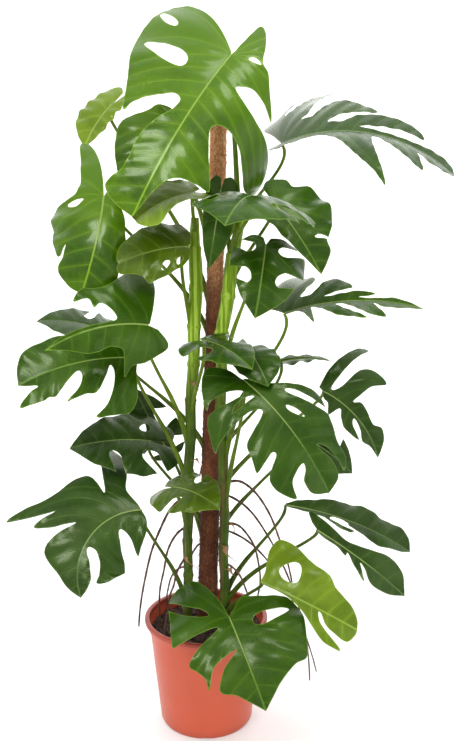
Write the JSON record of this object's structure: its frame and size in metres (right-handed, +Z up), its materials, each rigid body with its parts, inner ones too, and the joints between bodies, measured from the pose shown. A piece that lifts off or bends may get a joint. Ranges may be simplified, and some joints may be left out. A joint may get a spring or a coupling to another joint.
{
  "type": "potted swiss cheese plant",
  "caption": "Climbing swiss cheese plant with split and holed leaves on a coir pole, in a round plastic nursery pot of soil.",
  "frame": {"origin": "middle of the pot's flat underside, on the floor", "axes": "+Z up along the plant, +X to the right of the plant seen from its front, -Y towards the front"},
  "size_m": [0.82, 0.5203, 1.3711],
  "materials": {
    "pot_plastic": "satin",
    "soil": "matte",
    "coir": "matte",
    "stem": "satin",
    "leaf": "satin"
  },
  "bodies": {
    "root": {"pot": "pot_plastic", "soil": "soil", "coir_pole": "coir", "stems_left": "stem", "stems_right": "stem", "stems_back": "stem", "leaf_crown": "leaf", "leaf_crown_back": "leaf", "leaf_small_heart": "leaf", "leaf_upper_left": "leaf", "leaf_upper_right": "leaf", "leaf_right_shoulder": "leaf", "leaf_centre_edge": "leaf", "leaf_centre_right": "leaf", "leaf_mid_right": "leaf", "leaf_mid_left": "leaf", "leaf_left_bright": "leaf", "leaf_left_back": "leaf", "leaf_under_crown": "leaf", "leaf_olive_holed": "leaf", "leaf_centre_dark": "leaf", "leaf_low_left_back": "leaf", "leaf_back_left": "leaf", "leaf_low_left": "leaf", "leaf_centre_low": "leaf", "leaf_centre_front": "leaf", "leaf_centre_small": "leaf", "leaf_front_right": "leaf", "leaf_right_underside": "leaf", "leaf_right_lobed": "leaf", "leaf_back_right": "leaf", "leaf_low_right_upper": "leaf", "leaf_low_right_under": "leaf", "leaf_low_right_bright": "leaf", "leaf_pot_front": "leaf"}
  },
  "joints": []
}
